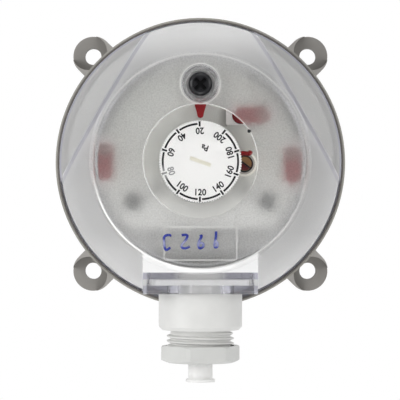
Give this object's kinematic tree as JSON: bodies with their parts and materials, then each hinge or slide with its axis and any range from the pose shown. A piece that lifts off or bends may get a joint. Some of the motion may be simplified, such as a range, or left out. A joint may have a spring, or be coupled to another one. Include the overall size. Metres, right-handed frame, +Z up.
{
  "type": "differential pressure switch",
  "caption": "Round air pressure switch with a base on four ears, a clear domed cover over a setting dial, two hose nipples and a cable gland.",
  "frame": {"origin": "centre of the four fixing holes on the back plane that meets the wall", "axes": "+Z up on the wall, away from the cable gland; +X to the right seen from the front; the front with the dial faces -Y"},
  "size_m": [0.085, 0.0582, 0.1058],
  "materials": {
    "housing_grey": "moulded, fine matt grain",
    "inner_housing": "moulded, smooth matt",
    "silicone": "smooth, translucent",
    "plate_metal": "stamped, satin",
    "steel": "plain zinc plated",
    "spring_steel": "drawn wire",
    "seal_rubber": "smooth matt",
    "mechanism_grey": "moulded, smooth matt",
    "screw_black": "blackened",
    "plate_screw_dark": "blackened",
    "spring_nut_plastic": "moulded",
    "spindle_plastic": "moulded, cream",
    "dial_white": "moulded, satin",
    "switch_black": "moulded",
    "switch_button": "moulded",
    "brass": "turned",
    "terminal_white": "moulded",
    "insulator_red": "moulded",
    "pointer_red": "moulded",
    "cover_clear": "clear, frosted apart from the window",
    "gland_grey": "moulded, satin",
    "gland_nut_grey": "moulded, satin",
    "plug_natural": "moulded, translucent"
  },
  "bodies": {
    "housing": {"base_housing": "housing_grey", "diaphragm": "silicone", "upper_housing": "inner_housing", "lever_pin": "steel", "cover_gasket": "seal_rubber", "mechanism_plate": "mechanism_grey", "plate_screws": "plate_screw_dark", "micro_switch": "switch_black", "differential_screw": "brass", "terminal_feet": "terminal_white", "blade_terminals": "brass", "terminal_insulators": "insulator_red", "terminal_screws": "steel", "setting_pointer": "pointer_red"},
    "stud": {"diaphragm_plate": "plate_metal", "stud_clip": "steel", "spring_plate": "steel", "range_spring": "spring_steel"},
    "lever": {"switch_lever": "steel"},
    "button": {"switch_button": "switch_button"},
    "dial": {"setting_spindle": "spindle_plastic", "setpoint_dial": "dial_white"},
    "spring_nut": {"spring_nut": "spring_nut_plastic"},
    "cover": {"cover": "cover_clear", "gland_body": "gland_grey", "gland_seal": "seal_rubber", "gland_plug": "plug_natural"},
    "cover_screw": {"cover_screw": "screw_black"},
    "gland_ring": {"gland_ring": "gland_nut_grey"},
    "gland_nut": {"gland_nut": "gland_nut_grey"}
  },
  "joints": [
    {"name": "dial_turn", "type": "hinge", "parent": "housing", "child": "dial", "pos_m": [0, -0.043, 0], "axis": [0, 1, 0], "range_deg": [0, 321]},
    {"name": "spring_nut_slide", "type": "slide", "parent": "housing", "child": "spring_nut", "axis": [0, 1, 0], "range_m": [0, 0.00295], "deforming": ["range_spring"]},
    {"name": "diaphragm_travel", "type": "slide", "parent": "housing", "child": "stud", "axis": [0, -1, 0], "range_m": [0, 0.0006], "stiffness_N_per_m": 400, "springref_m": -0.0003},
    {"name": "lever_rock", "type": "hinge", "parent": "housing", "child": "lever", "pos_m": [-0.014, -0.0291, 0], "axis": [0, 0, -1], "range_deg": [0, 2.5]},
    {"name": "button_press", "type": "slide", "parent": "housing", "child": "button", "axis": [0, -1, 0], "range_m": [0, 0.00105]},
    {"name": "cover_lift", "type": "slide", "parent": "housing", "child": "cover", "axis": [0, -1, 0], "range_m": [0, 0.04]},
    {"name": "cover_screw_turn", "type": "hinge", "parent": "cover", "child": "cover_screw", "pos_m": [0, -0.055, 0.0218], "axis": [0, 1, 0], "continuous": true},
    {"name": "gland_ring_slide", "type": "slide", "parent": "cover", "child": "gland_ring", "axis": [0, 0, 1], "range_m": [-0.00141, 0.00127]},
    {"name": "gland_nut_turn", "type": "hinge", "parent": "gland_ring", "child": "gland_nut", "pos_m": [0, -0.0425, -0.0557], "axis": [0, 0, 1], "range_deg": [-360, 324]}
  ],
  "couplings": [
    {"joint": "spring_nut_slide", "follows": "dial_turn", "m_per_rad": 0.00052521},
    {"joint": "lever_rock", "follows": "diaphragm_travel", "rad_per_m": 71.429},
    {"joint": "button_press", "follows": "diaphragm_travel", "ratio": 1.7214},
    {"joint": "gland_ring_slide", "follows": "gland_nut_turn", "m_per_rad": 0.00022282}
  ]
}
